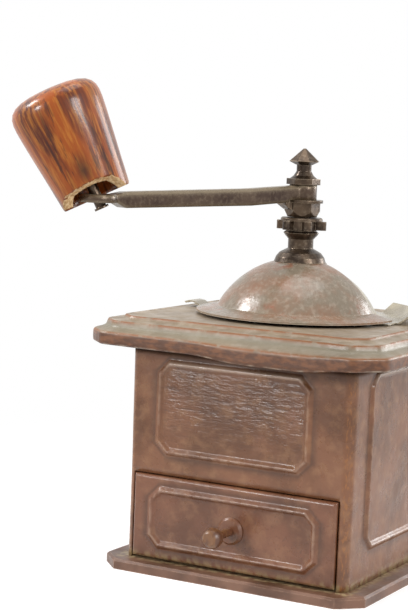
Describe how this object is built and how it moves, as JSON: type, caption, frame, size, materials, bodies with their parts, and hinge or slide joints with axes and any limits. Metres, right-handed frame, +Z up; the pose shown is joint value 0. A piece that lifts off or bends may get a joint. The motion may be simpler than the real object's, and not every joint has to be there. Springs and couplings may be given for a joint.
{
  "type": "poppy seed mill",
  "caption": "Box-shaped hand mill for poppy seed: pressed steel case with a drawer, stepped cover, domed hopper with a turning shutter, and a crank with a wooden knob.",
  "frame": {"origin": "centre of the flat underside of the base, on the spindle's axis", "axes": "+Z up along the spindle, -Y out of the drawer's front, +X to the right of someone facing the drawer"},
  "size_m": [0.1235, 0.1808, 0.1845],
  "materials": {
    "plinth_paint": "worn satin brown paint",
    "case_paint": "worn satin brown paint with rubbed beads",
    "drawer_paint": "worn satin brown paint with rubbed beads",
    "cover_metal": "dull greenish grey paint with rust along the ridges",
    "tinned_sheet": "dull tinned sheet",
    "dome_metal": "dull grey-tan paint with brown patches",
    "shutter_metal": "dull grey enamel, ivory at the leaf",
    "burr_iron": "dark cast iron",
    "dark_steel": "aged dark steel with light edges",
    "arm_steel": "forged steel, tan above and dark below",
    "lacquered_wood": "glossy red-brown lacquer over straight grain"
  },
  "bodies": {
    "case": {"plinth": "plinth_paint", "base_plate": "tinned_sheet", "body_shell": "case_paint", "top_cover": "cover_metal", "hopper_bowl": "tinned_sheet", "dome_cover": "dome_metal", "dome_yoke": "dark_steel", "yoke_rivets": "dark_steel", "bearing_bush": "dark_steel", "bush_nut": "dark_steel", "ring_burr": "burr_iron", "lower_bridge": "burr_iron", "bridge_screws": "dark_steel", "drawer_guide_left": "tinned_sheet", "drawer_guide_right": "tinned_sheet"},
    "washer": {"thrust_washer": "dark_steel"},
    "adjuster": {"adjusting_nut": "dark_steel"},
    "crank": {"spindle": "dark_steel", "cone_burr": "burr_iron", "burr_nut": "dark_steel", "lock_nut": "dark_steel", "tab_washer": "dark_steel", "crank_arm": "arm_steel", "finial_nut": "dark_steel", "handle_pin": "dark_steel"},
    "grip": {"wooden_knob": "lacquered_wood"},
    "drawer": {"drawer_front": "drawer_paint", "drawer_box": "tinned_sheet", "drawer_knob": "drawer_paint", "knob_rosette": "drawer_paint", "knob_nut": "dark_steel"},
    "hopper_shutter": {"shutter": "shutter_metal"}
  },
  "joints": [
    {"name": "crank_turn", "type": "hinge", "parent": "case", "child": "washer", "pos_m": [0, 0, 0.131], "axis": [0, 0, 1], "continuous": true},
    {"name": "nut_turn", "type": "hinge", "parent": "washer", "child": "adjuster", "pos_m": [0, 0, 0.1335], "axis": [0, 0, 1], "range_deg": [0, 346]},
    {"name": "burr_lift", "type": "slide", "parent": "washer", "child": "crank", "axis": [0, 0, 1], "range_m": [0, 0.0012]},
    {"name": "knob_spin", "type": "hinge", "parent": "crank", "child": "grip", "pos_m": [-0.03331, -0.09641, 0.1439], "axis": [-0.3958, -0.2026, 0.8957], "continuous": true},
    {"name": "drawer_slide", "type": "slide", "parent": "case", "child": "drawer", "axis": [0, -1, 0], "range_m": [0, 0.075]},
    {"name": "shutter_turn", "type": "hinge", "parent": "case", "child": "hopper_shutter", "pos_m": [0, 0, 0.098], "axis": [0, 0, 1], "range_deg": [0, 165]}
  ],
  "couplings": [
    {"joint": "nut_turn", "follows": "burr_lift", "rad_per_m": 5026.5}
  ]
}
